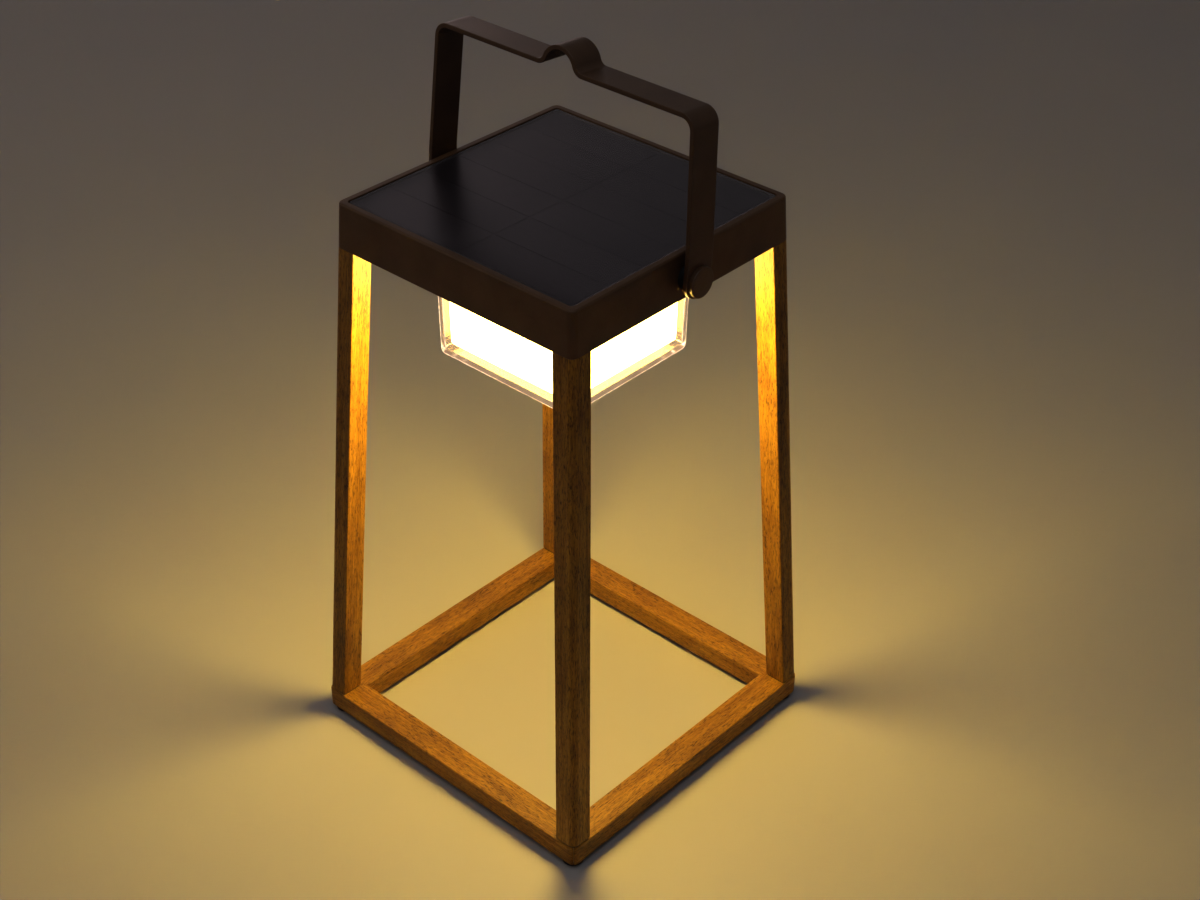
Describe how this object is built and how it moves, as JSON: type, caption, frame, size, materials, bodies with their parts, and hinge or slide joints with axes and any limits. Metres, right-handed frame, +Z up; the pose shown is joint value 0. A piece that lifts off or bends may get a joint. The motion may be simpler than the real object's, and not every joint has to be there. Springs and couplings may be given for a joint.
{
  "type": "solar lantern",
  "caption": "Square garden lantern: a lamp under a solar-panel head on four leaning wooden legs and a base frame, with a swinging strap handle.",
  "frame": {"origin": "on the floor under the middle of the base", "axes": "+Z up, X along the axis that the handle swings about, -Y towards the side with the power button and the charging port"},
  "size_m": [0.24, 0.24, 0.5065],
  "materials": {
    "bronze_coat": "satin",
    "bronze_strap": "satin",
    "panel_glass": "gloss",
    "solar_cell": "gloss",
    "backsheet": "matte",
    "black_plastic": "matte",
    "black_rubber": "matte",
    "teak": "satin",
    "clear_acrylic": "gloss",
    "frosted_acrylic": "matte",
    "stainless": "satin",
    "brass": "satin",
    "bare_aluminium": "satin",
    "circuit_board": "satin",
    "lamp_board": "satin",
    "lamp_chip": "satin",
    "battery_sleeve": "satin",
    "wire_cover": "satin"
  },
  "bodies": {
    "lantern": {"base_rail_front": "teak", "base_rail_right": "teak", "base_rail_back": "teak", "base_rail_left": "teak", "leg_front_right": "teak", "leg_front_left": "teak", "leg_back_right": "teak", "leg_back_left": "teak", "leg_foot_inserts": "brass", "leg_top_inserts": "brass", "corner_plates": "stainless", "corner_plate_screws": "stainless", "leg_foot_screws": "stainless", "feet": "black_rubber", "leg_washers": "black_plastic", "leg_top_screws": "stainless", "head_housing": "bronze_coat", "bottom_plate": "bronze_coat", "bottom_plate_screws": "stainless", "panel_glass": "panel_glass", "solar_cells": "solar_cell", "panel_backsheet": "backsheet", "panel_gasket": "black_rubber", "panel_junction_box": "black_plastic", "panel_leads": "wire_cover", "battery_cells": "battery_sleeve", "battery_holder": "black_plastic", "battery_clamp": "stainless", "battery_leads": "wire_cover", "control_board": "circuit_board", "board_standoffs": "brass", "board_screws": "stainless", "control_components": "black_plastic", "tactile_switch": "black_plastic", "charge_port": "stainless", "port_cover_anchor": "black_rubber", "diffuser_outer": "clear_acrylic", "diffuser_inner": "frosted_acrylic", "diffuser_gasket": "black_rubber", "lamp_plate": "bare_aluminium", "lamp_plate_spacers": "bare_aluminium", "lamp_plate_screws": "stainless", "lamp_board": "lamp_board", "lamp_leds": "lamp_chip", "lamp_leads": "wire_cover", "pivot_bolts": "bronze_strap", "pivot_bushes": "black_plastic", "pivot_washers": "black_plastic", "pivot_nuts": "stainless"},
    "handle": {"handle_strap": "bronze_strap"},
    "power_button": {"power_button": "black_rubber", "switch_plunger": "black_plastic"},
    "port_cover": {"port_cover": "black_rubber"}
  },
  "joints": [
    {"name": "handle_swing", "type": "hinge", "parent": "lantern", "child": "handle", "pos_m": [0, 0, 0.39], "axis": [1, 0, 0], "range_deg": [-86, 94]},
    {"name": "button_press", "type": "slide", "parent": "lantern", "child": "power_button", "axis": [0, 0, 1], "range_m": [0, 0.0006], "stiffness_N_per_m": 1200, "springref_m": -0.0004},
    {"name": "port_cover_hinge", "type": "hinge", "parent": "lantern", "child": "port_cover", "pos_m": [0.022, -0.0875, 0.37575], "axis": [-1, 0, 0], "range_deg": [0, 100]}
  ]
}
